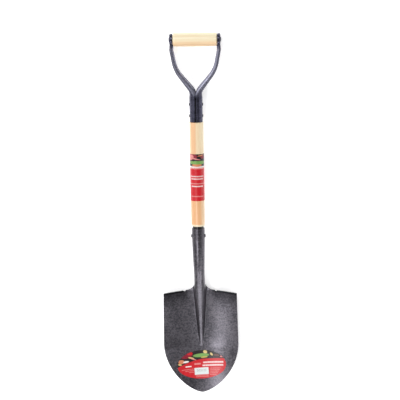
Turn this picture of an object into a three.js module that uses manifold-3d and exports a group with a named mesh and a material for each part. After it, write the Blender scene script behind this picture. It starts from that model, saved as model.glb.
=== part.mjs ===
// Round-point digging shovel with an open-back pressed blade and a D-handle.
//
// Units are millimetres. Every piece is built in the shaft's own frame: the shaft's axis is the Y
// axis, +Y runs towards the grip, y = 0 is the mouth of the blade's socket, +Z is the working face
// and X runs across. At the end the whole tool is laid on its back, face up, on the plane z = 0.

import * as THREE from "three";
import { mergeVertices } from "three/addons/utils/BufferGeometryUtils.js";
import Module from "manifold-3d";

const wasm = await Module();
wasm.setup();

// ---------------------------------------------------------------- driving dimensions

const GAP = 0.3; // clearance between neighbouring pieces
const THROUGH = 160; // length of a tool that cuts right through the handle
const HEAD_CLEARANCE = 0.24; // rivet head to the wall under it

// Blade socket and neck, measured from the mouth towards the tip
const SHEET = 2; // thickness of the blade's steel
const SOCKET_MOUTH_R = 15.9; // mid-sheet radius along the straight stretch
const SOCKET_NECK_R = 12.6; // mid-sheet radius at the end of the neck
const SOCKET_SEAM = 1.6; // gap between the two rolled edges, at the back
const SOCKET_STRAIGHT = 30; // straight stretch before the neck bends and narrows
const NECK_BEND_LENGTH = 130; // stretch over which the neck bends
const NECK_SLOPE = Math.tan(THREE.MathUtils.degToRad(20)); // fall of the crest after the bend
const RING_OPENS = 84; // where the rolled tube starts to open
const STEP_DISTANCE = 183; // mouth to the foot steps
const NECK_FILLET_R = 26; // rounded corner between the neck and a foot step, seen from the face

// Blade
const BLADE_LENGTH = 296; // foot steps to the tip
const SHOULDER_HALF_WIDTH = 98.5;
const BLADE_HALF_WIDTH = 101;
const WIDEST_DISTANCE = 150; // foot steps to the widest place
const POINT_FULLNESS = 1.9; // how long the sides stay wide below the widest place
const POINT_ROUNDNESS = 0.65; // 0.5 gives a round end, 1 gives a sharp corner
const TIP_HALF_WIDTH = 5;
const FROG_LENGTH = 165; // foot steps to the end of the frog
const FROG_HEIGHT = 37; // crest above the wings at the foot steps
const FROG_FALL = 1.08; // 1 gives a straight crest, more gives a hollow one
const FROG_TIP_R = 3.5; // mid-sheet radius of the crest where the frog ends
const FROG_FOOT_R = 6.5; // fillet between frog and wing
const FROG_FLANK_ANGLE = THREE.MathUtils.degToRad(83);
const DISH_R = 225; // radius of the wings' dish across the blade
const BELLY_DISTANCE = 175; // foot steps to the lowest place of the belly
const BELLY_R = 1650; // radius of the blade's curve along its length
const BLADE_LIFT = Math.tan(THREE.MathUtils.degToRad(4)); // fall of the blade away from the shaft

// Foot steps: the shoulders' top edges, turned towards the face
const STEP_INNER = 45;
const STEP_HEIGHT = 8;
const STEP_CORNER = 3;
const STEP_OVERHANG = 0.3; // how far a step reaches beyond the side of the blade
const STEP_SINK = 0.05; // how far a step stands clear of the sheet's back
const BELOW_STEP = 0.4; // foot steps to the first full-width row of the blade
const SHOULDER_SLOPE = 0.1; // fall of the shoulders towards the tip, for each millimetre across
const SLOPE_FADES = [6, 130]; // below the foot steps, where the slope dies away

// Shaft
const SHOULDER_GAP = 6.3; // shaft's shoulder to the socket's mouth
const EXPOSED_LENGTH = 276; // shaft seen between shoulder and yoke
const SHAFT_LOW_R = 17.8;
const SHAFT_HIGH_R = 18.5;
const SHAFT_CHAMFER = 1.4;
const SHAFT_SPIGOT_R = 14.4; // turned-down end inside the blade's socket
const SHAFT_SPIGOT_LENGTH = 84;
const SHAFT_SPIGOT_TIP_R = 8;
const SHAFT_TENON_R = 14.3; // turned-down end inside the yoke
const SHAFT_TENON_LENGTH = 62;
const SHAFT_TENON_CHAMFER = 3;

// Yoke
const YOKE_LENGTH = 213; // bottom edge of the yoke to the grip's axis
const YOKE_MOUTH_R = 16.9;
const YOKE_CROTCH_R = 17.5;
const YOKE_WALL = 2;
const YOKE_SEAM = 1; // slit along the front of the yoke's socket
const SEAM_OVERRUN = 5; // how far the slit's cut runs past both its ends
const ARM_BRANCH = 81.4; // bottom edge to the corner where the arms part
const ARM_ELBOW = [47.2, 137.5]; // corner where an arm turns back along the tool
const ARM_TOP_X = 57; // inner face of an ear
const BRANCH_BEND_R = 36;
const ELBOW_BEND_R = 80;
const EAR_BEND_R = 40;
const ARM_FLATTENS = [63, 173]; // above the bottom edge, where the tube turns into a channel
const ARM_WIDTH = 10;
const ARM_DEPTH = 8.5; // half depth of an arm near its ear
const ARM_END_WIDTH = 8.4; // where the arm runs into its ear
const ARM_END_NARROWS = [30, 8]; // below the grip's axis
const ARM_NARROWING = 0.55; // below 1 the width shrinks sooner than the depth
const SOCKET_SQUARENESS = 2; // exponent of the section: 2 is round, more is boxy
const EAR_SQUARENESS = 5;
const EAR_LENGTH = 26; // straight stretch of an arm below the grip's axis
const EAR_R = 15.5;
const EAR_WIDTH = 8.8;

// Grip
const GRIP_R = 18;
const GRIP_END_R = 17.4;
const GRIP_ROUNDING = 2.5;
const GRIP_SWELL_END = 0.3; // share of the taper used up half way along
const GRIP_SPIGOT_R = 11.5; // end of the grip that sits inside an ear
const GRIP_SPIGOT_CHAMFER = 1;
const GRIP_BORE_R = 3.6;
const EAR_FLOOR_CLEARANCE = 1.2; // grip's end to the floor of an ear

// Rivets
const RIVET_R = 2.7;
const RIVET_DRILL_LENGTH = 60;
const RIVET_HEAD = { r: 4.6, height: 2.6 }; // on the blade's socket
const YOKE_RIVET_HEAD = { r: 3.9, height: 1.6 };
const GRIP_RIVET_R = 3.2;
const GRIP_RIVET_HEAD = { r: 6.5, height: 2 };
const SOCKET_RIVET_DISTANCE = 21; // below the socket's mouth
const YOKE_RIVET_HEIGHTS = { upper: 45.5, lower: 15.5 }; // above the yoke's bottom edge
const RIVET_DOME = [[1, 0], [1, 0.35], [0.75, 0.8], [0.4, 1], [0, 1]]; // shares of radius and height

// Labels
const LABEL_THICKNESS = 0.4;
const SHAFT_LABEL_TOP = 83; // below the yoke's bottom edge
const SHAFT_LABEL_LENGTH = 124;
const SHAFT_LABEL_WRAP = THREE.MathUtils.degToRad(352);
const BLADE_LABEL_CENTRE = 216; // below the foot steps
const BLADE_LABEL_HALF = [66.5, 41];
const BLADE_LABEL_TURN = THREE.MathUtils.degToRad(4); // right end towards the grip
const BLADE_LABEL_REACH = 1.35; // the oval runs this many radians above and below its middle

// Fineness of the facets
const SIDES = { drill: 20, bore: 24, ear: 40, shaft: 40, grip: 36, rivet: 18 };
const BLADE_ROWS = { socket: 5, neck: 7, fillet: 6, sides: 10, point: 11 };
const CREST_COLUMNS = 10; // from the crest to just past the frog's foot
const WING_COLUMNS = 6;
const STEP_COLUMNS = 12;
const ARM_SIDES = 12;
const LABEL_COLUMNS = { shaft: 44, blade: 14 };
const BLADE_LABEL_ROWS = 10;
const TRACE_STEP = 0.5; // step when a line is followed across the sheet
const NEARLY_FLAT = 0.01; // flank angle below which a section has no flank

const RING_OPEN = STEP_DISTANCE - NECK_FILLET_R; // where the tube has opened into the frog
const YOKE_BOTTOM = SHOULDER_GAP + EXPOSED_LENGTH;
const GRIP_AXIS = YOKE_BOTTOM + YOKE_LENGTH;

// ---------------------------------------------------------------- building closed solids

function clamp01(value) {
  return Math.min(1, Math.max(0, value));
}

function mix(a, b, share) {
  return a + (b - a) * share;
}

// Turns triangles over if they face inwards, then makes the geometry.
function closedSolid(points, triangles) {
  const corners = points.map((point) => new THREE.Vector3(...point));
  let volume = 0;
  for (const [a, b, c] of triangles) {
    volume += corners[a].dot(corners[b].clone().cross(corners[c]));
  }
  const outward = volume > 0 ? triangles : triangles.map(([a, b, c]) => [a, c, b]);
  const geometry = new THREE.BufferGeometry();
  geometry.setAttribute("position", new THREE.Float32BufferAttribute(points.flat(), 3));
  geometry.setIndex(outward.flat());
  return geometry;
}

// A plate between two grids of points of the same size, closed round its four edges.
function plate(front, back) {
  const rows = front.length;
  const columns = front[0].length;
  const points = [...front.flat(), ...back.flat()];
  const at = (row, column, side) => side * rows * columns + row * columns + column;
  const triangles = [];
  const quad = (a, b, c, d) => triangles.push([a, b, c], [a, c, d]);
  for (let row = 0; row + 1 < rows; row += 1) {
    for (let column = 0; column + 1 < columns; column += 1) {
      quad(at(row, column, 0), at(row, column + 1, 0), at(row + 1, column + 1, 0), at(row + 1, column, 0));
      quad(at(row, column, 1), at(row + 1, column, 1), at(row + 1, column + 1, 1), at(row, column + 1, 1));
    }
    const last = columns - 1;
    quad(at(row, 0, 0), at(row + 1, 0, 0), at(row + 1, 0, 1), at(row, 0, 1));
    quad(at(row, last, 0), at(row, last, 1), at(row + 1, last, 1), at(row + 1, last, 0));
  }
  for (let column = 0; column + 1 < columns; column += 1) {
    const last = rows - 1;
    quad(at(0, column, 0), at(0, column, 1), at(0, column + 1, 1), at(0, column + 1, 0));
    quad(at(last, column, 0), at(last, column + 1, 0), at(last, column + 1, 1), at(last, column, 1));
  }
  return closedSolid(points, triangles);
}

// A solid skinned over a row of convex sections with the same number of points.
function loft(sections) {
  const count = sections[0].length;
  const points = sections.flat();
  const triangles = [];
  for (let row = 0; row + 1 < sections.length; row += 1) {
    for (let k = 0; k < count; k += 1) {
      const a = row * count + k;
      const b = row * count + ((k + 1) % count);
      triangles.push([a, b, b + count], [a, b + count, a + count]);
    }
  }
  const end = (sections.length - 1) * count;
  for (let k = 1; k + 1 < count; k += 1) {
    triangles.push([0, k + 1, k], [end, end + k, end + k + 1]);
  }
  return closedSolid(points, triangles);
}

function toManifold(geometry) {
  const bare = geometry.clone();
  bare.deleteAttribute("normal");
  bare.deleteAttribute("uv");
  const merged = mergeVertices(bare);
  return new wasm.Manifold(new wasm.Mesh({
    numProp: 3,
    vertProperties: new Float32Array(merged.attributes.position.array),
    triVerts: new Uint32Array(merged.index.array),
  }));
}

function fromManifold(solid) {
  const mesh = solid.getMesh();
  const geometry = new THREE.BufferGeometry();
  geometry.setAttribute("position", new THREE.BufferAttribute(mesh.vertProperties, 3));
  geometry.setIndex(new THREE.BufferAttribute(mesh.triVerts, 1));
  return geometry;
}

function join(...geometries) {
  return fromManifold(geometries.map(toManifold).reduce((whole, next) => whole.add(next)));
}

function cut(geometry, ...tools) {
  const whole = toManifold(geometry);
  return fromManifold(tools.map(toManifold).reduce((rest, tool) => rest.subtract(tool), whole));
}

// A cylinder along X through the shaft's axis, centred at height y.
function crossDrill(radius, length, y) {
  const drill = new THREE.CylinderGeometry(radius, radius, length, SIDES.drill);
  drill.rotateZ(Math.PI / 2);
  drill.translate(0, y, 0);
  return drill;
}

function turned(profile, segments) {
  return new THREE.LatheGeometry(profile.map(([r, y]) => new THREE.Vector2(r, y)), segments);
}

// ---------------------------------------------------------------- the blade's sheet

function socketRadius(distance) {
  const narrowing = clamp01((distance - SOCKET_STRAIGHT) / (RING_OPEN - SOCKET_STRAIGHT));
  return mix(SOCKET_MOUTH_R, SOCKET_NECK_R, narrowing);
}

function neckDrop(distance) {
  const bent = Math.max(0, distance - SOCKET_STRAIGHT);
  if (bent < NECK_BEND_LENGTH) {
    return (NECK_SLOPE * bent * bent) / (2 * NECK_BEND_LENGTH);
  }
  return NECK_SLOPE * (bent - NECK_BEND_LENGTH / 2);
}

// Height of the wings where they meet the frog, along the blade.
function wingFloor(distance) {
  const along = distance - STEP_DISTANCE;
  const atStep = SOCKET_NECK_R - neckDrop(STEP_DISTANCE) - FROG_HEIGHT;
  const curve = ((along - BELLY_DISTANCE) ** 2 - BELLY_DISTANCE ** 2) / (2 * BELLY_R);
  return atStep - BLADE_LIFT * along + curve;
}

// Height of the socket's or frog's crest, at the middle of the sheet.
function crestHeight(distance) {
  const along = clamp01((distance - STEP_DISTANCE) / FROG_LENGTH);
  if (along === 0) {
    return socketRadius(distance) - neckDrop(distance);
  }
  return wingFloor(distance) + FROG_HEIGHT * (1 - along) ** FROG_FALL;
}

// Half of one cross-section of the open sheet: crest arc, flank, fillet and dished wing.
// Returns the direction of the sheet, as an angle below the X axis, at a length t from the crest.
function openSection(distance) {
  const along = clamp01((distance - STEP_DISTANCE) / FROG_LENGTH);
  const height = distance < STEP_DISTANCE ? FROG_HEIGHT : crestHeight(distance) - wingFloor(distance);
  const crestR = mix(SOCKET_NECK_R, FROG_TIP_R, along);
  const footR = FROG_FOOT_R;
  const vanishing = Math.acos(Math.max(-1, 1 - height / (crestR + footR)));
  const flank = Math.min(FROG_FLANK_ANGLE, vanishing);
  const bends = (crestR + footR) * (1 - Math.cos(flank));
  const flankLength = flank > NEARLY_FLAT ? Math.max(0, height - bends) / Math.sin(flank) : 0;
  const crestEnd = crestR * flank;
  const flankEnd = crestEnd + flankLength;
  const footEnd = flankEnd + footR * flank;
  const angle = (t) => {
    if (t < crestEnd) return t / crestR;
    if (t < flankEnd) return flank;
    if (t < footEnd) return flank - (t - flankEnd) / footR;
    return -(t - footEnd) / DISH_R;
  };
  return { angle, footEnd };
}

// Half width of the blade in plan, measured from the foot steps.
function bladeHalfWidth(along) {
  if (along < WIDEST_DISTANCE) {
    return mix(SHOULDER_HALF_WIDTH, BLADE_HALF_WIDTH, along / WIDEST_DISTANCE);
  }
  const share = (along - WIDEST_DISTANCE) / (BLADE_LENGTH - WIDEST_DISTANCE);
  return BLADE_HALF_WIDTH * Math.max(0, 1 - share ** POINT_FULLNESS) ** POINT_ROUNDNESS;
}

// Points of one half section at the given lengths from the crest, with their surface directions.
function halfSection(distance, lengths) {
  const ring = 1 - THREE.MathUtils.smoothstep(distance, RING_OPENS, RING_OPEN);
  const open = openSection(distance);
  const radius = socketRadius(distance);
  const angle = (t) => mix(open.angle(t), Math.min(t / radius, Math.PI), ring);
  const samples = [];
  let [x, z, t] = [0, crestHeight(distance), 0];
  for (const length of lengths) {
    const steps = Math.max(1, Math.ceil((length - t) / TRACE_STEP));
    const step = (length - t) / steps;
    for (let k = 0; k < steps; k += 1) {
      const middle = angle(t + step / 2);
      x += step * Math.cos(middle);
      z -= step * Math.sin(middle);
      t += step;
    }
    samples.push({ x, z, angle: angle(t) });
  }
  return samples;
}

// Length of sheet from the crest to a place x across the open blade.
function sheetLengthTo(distance, target) {
  const step = TRACE_STEP / 2;
  const open = openSection(distance);
  let [length, reached] = [0, 0];
  while (reached < target) {
    reached += step * Math.cos(open.angle(length + step / 2));
    length += step;
  }
  return length - (reached - target);
}

function sheetHalfLength(distance) {
  const neckHalfWidth = SOCKET_NECK_R + SHEET / 2;
  if (distance > STEP_DISTANCE) {
    return sheetLengthTo(distance, Math.max(TIP_HALF_WIDTH, bladeHalfWidth(distance - STEP_DISTANCE)));
  }
  if (distance > RING_OPEN) {
    const rise = NECK_FILLET_R * Math.sqrt(1 - ((distance - RING_OPEN) / NECK_FILLET_R) ** 2);
    return sheetLengthTo(distance, neckHalfWidth + NECK_FILLET_R - rise);
  }
  const ringHalf = Math.PI * socketRadius(distance) - SOCKET_SEAM / 2;
  const flankHalf = sheetLengthTo(RING_OPEN, neckHalfWidth);
  return mix(ringHalf, flankHalf, THREE.MathUtils.smoothstep(distance, RING_OPENS, RING_OPEN));
}

// One row of the sheet, from left edge to right edge, on both faces.
function sheetRow(distance) {
  const half = sheetHalfLength(distance);
  const inner = Math.min(openSection(distance).footEnd + 2, half * 0.8);
  const lengths = [...range(0, inner, CREST_COLUMNS), ...range(inner, half, WING_COLUMNS).slice(1)];
  const right = halfSection(distance, lengths);
  const side = (sign, offset) => right.map(({ x, z, angle }) => [
    sign * (x + offset * Math.sin(angle)),
    -distance,
    z + offset * Math.cos(angle),
  ]);
  const face = (offset) => [...side(-1, offset).slice(1).reverse(), ...side(1, offset)];
  return { front: face(SHEET / 2), back: face(-SHEET / 2) };
}

function range(from, to, count) {
  return Array.from({ length: count + 1 }, (_, k) => mix(from, to, k / count));
}

function bladeSheet() {
  const pointLength = BLADE_LENGTH - WIDEST_DISTANCE;
  const widest = STEP_DISTANCE + WIDEST_DISTANCE;
  const quarter = (count) => range(0, Math.PI / 2, count).slice(1).map(Math.sin);
  const distances = [
    ...range(0, RING_OPENS, BLADE_ROWS.socket),
    ...range(RING_OPENS, RING_OPEN, BLADE_ROWS.neck).slice(1),
    ...quarter(BLADE_ROWS.fillet).map((share) => RING_OPEN + NECK_FILLET_R * share),
    ...range(STEP_DISTANCE + BELOW_STEP, widest, BLADE_ROWS.sides),
    ...quarter(BLADE_ROWS.point).map((share) => widest + pointLength * share),
  ];
  const rows = distances.map(sheetRow);
  return plate(rows.map((row) => row.front), rows.map((row) => row.back));
}

// Height of the wing's middle surface at a place across the blade.
function wingHeight(distance, across) {
  const length = sheetLengthTo(distance, Math.abs(across));
  return halfSection(distance, [length])[0].z;
}

// One foot step: the strip along a shoulder that is turned up towards the face.
function footStep(side) {
  const end = SHOULDER_HALF_WIDTH + STEP_OVERHANG;
  const columns = range(STEP_INNER, end, STEP_COLUMNS);
  const outline = new THREE.Shape();
  const foot = (x) => wingHeight(STEP_DISTANCE + SHEET / 2, x) - SHEET / 2 + STEP_SINK;
  outline.moveTo(side * columns[0], foot(columns[0]));
  for (const x of columns.slice(1)) {
    outline.lineTo(side * x, foot(x));
  }
  for (const x of [...columns].reverse()) {
    const fromEnd = Math.min(x - STEP_INNER, end - x);
    const lowered = fromEnd < STEP_CORNER ? STEP_CORNER - fromEnd : 0;
    outline.lineTo(side * x, foot(x) + SHEET + STEP_HEIGHT - lowered);
  }
  outline.closePath();
  const strip = new THREE.ExtrudeGeometry(outline, { depth: SHEET, bevelEnabled: false });
  strip.rotateX(Math.PI / 2);
  strip.translate(0, -STEP_DISTANCE, 0);
  return strip;
}

// Slides every place beyond the inner ends of the foot steps towards the tip.
function slopeShoulders(geometry) {
  const position = geometry.attributes.position;
  const [from, to] = SLOPE_FADES;
  for (let k = 0; k < position.count; k += 1) {
    const below = -position.getY(k) - STEP_DISTANCE;
    const beyond = Math.max(0, Math.abs(position.getX(k)) - STEP_INNER);
    const fall = SHOULDER_SLOPE * beyond * (1 - THREE.MathUtils.smoothstep(below, from, to));
    position.setY(k, position.getY(k) - fall);
  }
  return geometry;
}

function bladeGeometry() {
  const body = slopeShoulders(join(bladeSheet(), footStep(-1), footStep(1)));
  const drill = crossDrill(RIVET_R + GAP, RIVET_DRILL_LENGTH, -SOCKET_RIVET_DISTANCE);
  return cut(body, drill);
}

// ---------------------------------------------------------------- shaft

function shaftRadius(y) {
  return mix(SHAFT_LOW_R, SHAFT_HIGH_R, (y - SHOULDER_GAP) / EXPOSED_LENGTH);
}

function shaftGeometry() {
  const low = SHOULDER_GAP;
  const high = YOKE_BOTTOM - 2 * GAP;
  const tenonTop = high + SHAFT_TENON_LENGTH;
  const profile = [
    [0, -SHAFT_SPIGOT_LENGTH],
    [SHAFT_SPIGOT_TIP_R - SHAFT_CHAMFER, -SHAFT_SPIGOT_LENGTH],
    [SHAFT_SPIGOT_TIP_R, -SHAFT_SPIGOT_LENGTH + SHAFT_CHAMFER],
    [SHAFT_SPIGOT_R, -SOCKET_STRAIGHT],
    [SHAFT_SPIGOT_R, low],
    [shaftRadius(low) - SHAFT_CHAMFER, low],
    [shaftRadius(low), low + SHAFT_CHAMFER],
    [shaftRadius(high), high - SHAFT_CHAMFER],
    [shaftRadius(high) - SHAFT_CHAMFER, high],
    [SHAFT_TENON_R, high],
    [SHAFT_TENON_R, tenonTop - SHAFT_TENON_CHAMFER],
    [SHAFT_TENON_R - SHAFT_TENON_CHAMFER, tenonTop],
    [0, tenonTop],
  ];
  const drills = [-SOCKET_RIVET_DISTANCE, ...Object.values(YOKE_RIVET_HEIGHTS).map((h) => YOKE_BOTTOM + h)];
  const holes = drills.map((y) => crossDrill(RIVET_R + GAP, RIVET_DRILL_LENGTH, y));
  return cut(turned(profile, SIDES.shaft), ...holes);
}

// ---------------------------------------------------------------- yoke

// Line of an arm's open edge in plan: up the seam, out along the branch and up to the ear.
function armPath() {
  const corners = [
    new THREE.Vector2(0, 0),
    new THREE.Vector2(0, ARM_BRANCH),
    new THREE.Vector2(...ARM_ELBOW),
    new THREE.Vector2(ARM_TOP_X, YOKE_LENGTH - EAR_LENGTH),
    new THREE.Vector2(ARM_TOP_X, YOKE_LENGTH),
  ];
  const radii = [0, BRANCH_BEND_R, ELBOW_BEND_R, EAR_BEND_R];
  const stretches = [0, 5, 5, 1]; // straight stretches that stand for each bend
  const points = [corners[0], new THREE.Vector2(0, ARM_BRANCH / 2)];
  for (let k = 1; k < radii.length; k += 1) {
    const before = corners[k - 1].clone().sub(corners[k]).normalize();
    const after = corners[k + 1].clone().sub(corners[k]).normalize();
    const turn = Math.PI - before.angleTo(after);
    const reach = radii[k] * Math.tan(turn / 2);
    const start = corners[k].clone().addScaledVector(before, reach);
    const end = corners[k].clone().addScaledVector(after, reach);
    const bend = new THREE.QuadraticBezierCurve(start, corners[k], end);
    points.push(...bend.getPoints(stretches[k]));
  }
  const [narrowFrom, narrowTo] = ARM_END_NARROWS;
  points.push(new THREE.Vector2(ARM_TOP_X, YOKE_LENGTH - (narrowFrom + narrowTo) / 2));
  points.push(new THREE.Vector2(ARM_TOP_X, YOKE_LENGTH - narrowTo));
  points.push(corners[4]);
  return points;
}

// Half of a rounded tube: an arm's section, as deep as it is wide at the socket, flatter at the ear.
// The inset makes the hollow inside; the overlap carries the section past the arm's open edge.
function armSections(side, inset, overlap) {
  const path = armPath();
  return path.map((point, k) => {
    const ahead = path[Math.min(k + 1, path.length - 1)];
    const behind = path[Math.max(k - 1, 0)];
    const along = ahead.clone().sub(behind).normalize();
    const spread = THREE.MathUtils.smoothstep(point.y, ...ARM_FLATTENS);
    const tube = mix(YOKE_MOUTH_R, YOKE_CROTCH_R, clamp01(point.y / ARM_BRANCH));
    const ending = THREE.MathUtils.smoothstep(point.y - YOKE_LENGTH, ...ARM_END_NARROWS.map((y) => -y));
    const armWidth = mix(ARM_WIDTH, ARM_END_WIDTH, ending);
    const width = mix(tube, armWidth, spread ** ARM_NARROWING) - inset;
    const depth = mix(tube, ARM_DEPTH, spread) - inset;
    const squareness = 2 / mix(SOCKET_SQUARENESS, EAR_SQUARENESS, spread);
    const section = [];
    for (const turn of range(-Math.PI / 2, Math.PI / 2, ARM_SIDES)) {
      const out = width * Math.cos(turn) ** squareness;
      const up = depth * Math.sign(turn) * Math.abs(Math.sin(turn)) ** squareness;
      section.push([out, up]);
    }
    section.push([-overlap, depth], [-overlap, -depth]);
    return section.map(([out, up]) => [
      side * (point.x + out * along.y),
      YOKE_BOTTOM + point.y - out * along.x,
      up,
    ]);
  });
}

// Two discs about the grip's axis, one on each side: the ears, or the hollows inside them.
function discs(radius, inner, outer) {
  const disc = (side) => {
    const geometry = new THREE.CylinderGeometry(radius, radius, outer - inner, SIDES.ear);
    geometry.rotateZ(Math.PI / 2);
    geometry.translate((side * (inner + outer)) / 2, GRIP_AXIS, 0);
    return geometry;
  };
  return join(disc(-1), disc(1));
}

function yokeGeometry() {
  const overlap = YOKE_WALL;
  const arms = (inset, past) => [loft(armSections(-1, inset, past)), loft(armSections(1, inset, past))];
  const earTop = ARM_TOP_X + EAR_WIDTH;
  const outside = join(...arms(0, GAP), discs(EAR_R, ARM_TOP_X, earTop));
  const hollow = join(
    ...arms(YOKE_WALL, overlap),
    discs(EAR_R - YOKE_WALL, ARM_TOP_X - overlap, earTop - YOKE_WALL),
  );
  const boreR = YOKE_MOUTH_R - YOKE_WALL;
  const mouth = new THREE.CylinderGeometry(boreR, boreR, 2 * YOKE_WALL, SIDES.bore);
  mouth.translate(0, YOKE_BOTTOM, 0);
  const seam = new THREE.BoxGeometry(YOKE_SEAM, ARM_BRANCH + 2 * SEAM_OVERRUN, YOKE_CROTCH_R * 2);
  seam.translate(0, YOKE_BOTTOM + ARM_BRANCH / 2, YOKE_CROTCH_R);
  const heights = Object.values(YOKE_RIVET_HEIGHTS);
  const drills = heights.map((h) => crossDrill(RIVET_R + GAP, RIVET_DRILL_LENGTH, YOKE_BOTTOM + h));
  const gripDrill = crossDrill(GRIP_BORE_R, THROUGH, GRIP_AXIS);
  return cut(outside, hollow, mouth, seam, ...drills, gripDrill);
}

// ---------------------------------------------------------------- grip

function gripGeometry() {
  const shoulder = ARM_TOP_X - 2 * GAP;
  const end = ARM_TOP_X + EAR_WIDTH - YOKE_WALL - EAR_FLOOR_CLEARANCE;
  const corner = GRIP_ROUNDING * (1 - Math.SQRT1_2); // how far the rounding's middle is set in
  const half = [
    [GRIP_R, 0],
    [mix(GRIP_R, GRIP_END_R, GRIP_SWELL_END), shoulder / 2],
    [GRIP_END_R, shoulder - GRIP_ROUNDING],
    [GRIP_END_R - corner, shoulder - corner],
    [GRIP_END_R - GRIP_ROUNDING, shoulder],
    [GRIP_SPIGOT_R, shoulder],
    [GRIP_SPIGOT_R, end - GRIP_SPIGOT_CHAMFER],
    [GRIP_SPIGOT_R - GRIP_SPIGOT_CHAMFER, end],
    [GRIP_BORE_R, end],
  ];
  const mirrored = half.slice(1).reverse().map(([r, x]) => [r, -x]);
  const geometry = turned([...mirrored, ...half, mirrored[0]], SIDES.grip);
  geometry.rotateZ(-Math.PI / 2);
  geometry.translate(0, GRIP_AXIS, 0);
  return geometry;
}

// ---------------------------------------------------------------- rivets

// A rivet across X with a low dome at each end, its heads clear of walls at +-halfSpan.
function rivetGeometry(shankR, head, halfSpan, y) {
  const under = halfSpan + HEAD_CLEARANCE;
  const dome = (sign) => [
    [shankR, sign * under],
    ...RIVET_DOME.map(([out, up]) => [head.r * out, sign * (under + head.height * up)]),
  ];
  const geometry = turned([...dome(-1).reverse(), ...dome(1)], SIDES.rivet);
  geometry.rotateZ(-Math.PI / 2);
  geometry.translate(0, y, 0);
  return geometry;
}

function socketRivetGeometry() {
  const wall = socketRadius(SOCKET_RIVET_DISTANCE) + SHEET / 2;
  return rivetGeometry(RIVET_R, RIVET_HEAD, wall, -SOCKET_RIVET_DISTANCE);
}

function yokeRivetGeometry(height) {
  const wall = mix(YOKE_MOUTH_R, YOKE_CROTCH_R, height / ARM_BRANCH);
  return rivetGeometry(RIVET_R, YOKE_RIVET_HEAD, wall, YOKE_BOTTOM + height);
}

function gripRivetGeometry() {
  const wall = ARM_TOP_X + EAR_WIDTH;
  return rivetGeometry(GRIP_RIVET_R, GRIP_RIVET_HEAD, wall, GRIP_AXIS);
}

// ---------------------------------------------------------------- labels

function shaftLabelGeometry() {
  const top = YOKE_BOTTOM - SHAFT_LABEL_TOP;
  const half = SHAFT_LABEL_WRAP / 2;
  const skin = (offset) => [top, top - SHAFT_LABEL_LENGTH].map((y) => (
    range(-half, half, LABEL_COLUMNS.shaft).map((turn) => {
      const radius = shaftRadius(y) + GAP + offset;
      return [radius * Math.sin(turn), y, radius * Math.cos(turn)];
    })
  ));
  return plate(skin(LABEL_THICKNESS), skin(0));
}

function bladeLabelGeometry() {
  const [halfWidth, halfHeight] = BLADE_LABEL_HALF;
  const [cosine, sine] = [Math.cos(BLADE_LABEL_TURN), Math.sin(BLADE_LABEL_TURN)];
  const turns = range(-BLADE_LABEL_REACH, BLADE_LABEL_REACH, BLADE_LABEL_ROWS);
  const skin = (offset) => turns.map((turn) => {
    const lower = halfHeight * Math.sin(turn);
    const reach = halfWidth * Math.cos(turn);
    return range(-reach, reach, LABEL_COLUMNS.blade).map((across) => {
      const x = across * cosine + lower * sine;
      const distance = STEP_DISTANCE + BLADE_LABEL_CENTRE + lower * cosine - across * sine;
      return [x, -distance, wingHeight(distance, x) + SHEET / 2 + GAP + offset];
    });
  });
  return plate(skin(LABEL_THICKNESS), skin(0));
}

// ---------------------------------------------------------------- assembly

const steel = { color: 0x3c3c42, roughness: 0.45, metalness: 0.6 };
const yokePaint = { color: 0x2c2c36, roughness: 0.35, metalness: 0.5 };
const rivetSteel = { color: 0x8c8c90, roughness: 0.4, metalness: 0.9 };
const wood = { color: 0xf0cfa0, roughness: 0.4, metalness: 0 };
const paper = { color: 0xd23a40, roughness: 0.35, metalness: 0 };

const pieces = {
  blade: [bladeGeometry(), steel],
  shaft: [shaftGeometry(), wood],
  socket_rivet: [socketRivetGeometry(), rivetSteel],
  yoke: [yokeGeometry(), yokePaint],
  yoke_rivet_upper: [yokeRivetGeometry(YOKE_RIVET_HEIGHTS.upper), yokePaint],
  yoke_rivet_lower: [yokeRivetGeometry(YOKE_RIVET_HEIGHTS.lower), yokePaint],
  grip: [gripGeometry(), wood],
  grip_rivet: [gripRivetGeometry(), yokePaint],
  shaft_label: [shaftLabelGeometry(), paper],
  blade_label: [bladeLabelGeometry(), paper],
};

const tool = new THREE.Group();
for (const [name, [geometry, finish]] of Object.entries(pieces)) {
  const mesh = new THREE.Mesh(geometry, new THREE.MeshStandardMaterial(finish));
  mesh.name = name;
  tool.add(mesh);
}

// Lowest point of one piece once the tool is tilted about X.
function lowestAt(name, tilt) {
  const position = pieces[name][0].attributes.position;
  const tiltedZ = (k) => position.getY(k) * Math.sin(tilt) + position.getZ(k) * Math.cos(tilt);
  return Math.min(...Array.from({ length: position.count }, (_, k) => tiltedZ(k)));
}

// Tilt, in radians, at which the grip and the blade's belly touch the ground together.
function restingTilt() {
  const halvings = 40;
  let [low, high] = [-0.3, 0.3];
  for (let k = 0; k < halvings; k += 1) {
    const middle = (low + high) / 2;
    if (lowestAt("grip", middle) > lowestAt("blade", middle)) {
      high = middle;
    } else {
      low = middle;
    }
  }
  return (low + high) / 2;
}

tool.rotation.x = restingTilt();
tool.updateMatrixWorld(true);

const box = new THREE.Box3().setFromObject(tool, true);
const centre = box.getCenter(new THREE.Vector3());
tool.position.set(-centre.x, -centre.y, -box.min.z);

const shovel = new THREE.Group();
shovel.add(tool);

export default shovel;
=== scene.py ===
"""Looks of the round-point D-handle shovel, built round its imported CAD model.

Pieces are built in the tool's own frame, in metres: X across, Y along the shaft towards the grip,
Z out of the working face, with the mouth of the blade's socket at the origin.
"""

import math

import bpy
import numpy as np
from mathutils import Matrix, Vector


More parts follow.
